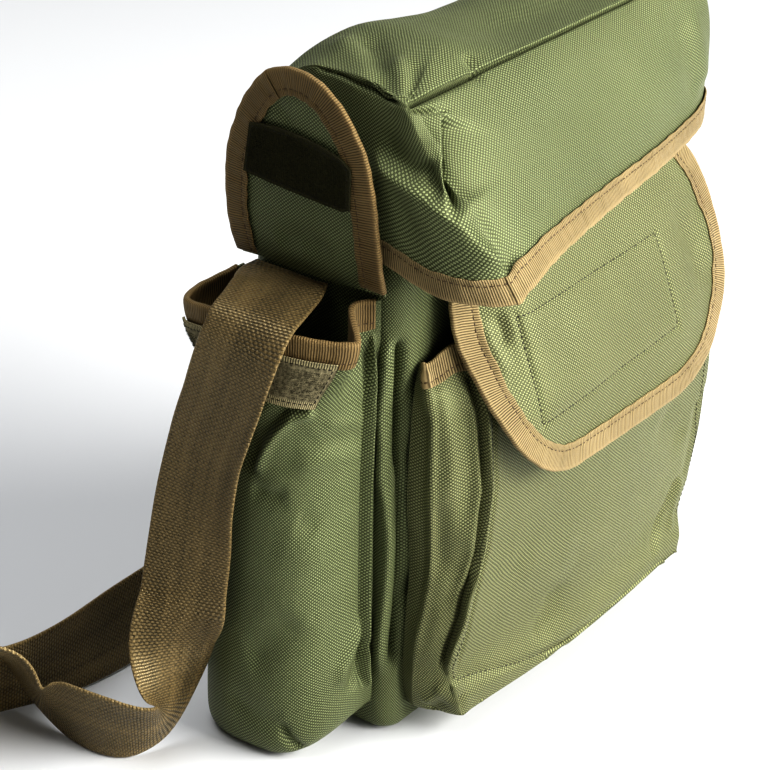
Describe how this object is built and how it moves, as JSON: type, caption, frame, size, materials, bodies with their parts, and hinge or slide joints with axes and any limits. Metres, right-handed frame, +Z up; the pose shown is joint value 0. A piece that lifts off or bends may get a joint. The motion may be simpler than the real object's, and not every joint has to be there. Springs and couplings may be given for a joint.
{
  "type": "radio pouch",
  "caption": "Upright olive nylon shoulder bag for a radio: bound lid, front pocket under a rounded flap, open side pocket with a hook-and-loop flap, and a long webbing strap.",
  "frame": {"origin": "middle of the body's flat base, on the surface it stands on", "axes": "+Z up, +X along the front face from the side pocket to the other end, the front faces -Y"},
  "size_m": [0.4834, 0.2597, 0.3554],
  "materials": {
    "nylon": "coarse plain-weave nylon with a slight sheen",
    "binding": "ribbed grosgrain tape",
    "webbing": "dense woven webbing",
    "hook_tape": "hook side of hook-and-loop tape",
    "loop_tape": "loop side of hook-and-loop tape"
  },
  "bodies": {
    "root": {"body": "nylon", "lid": "nylon", "lid_binding": "binding", "front_pocket": "nylon", "front_pocket_binding": "binding", "front_flap": "nylon", "front_flap_binding": "binding", "side_pocket": "nylon", "side_pocket_binding": "binding", "side_pocket_loop_tape": "loop_tape", "side_flap": "nylon", "side_flap_binding": "binding", "side_flap_hook_tape": "hook_tape", "shoulder_strap": "webbing"}
  },
  "joints": []
}
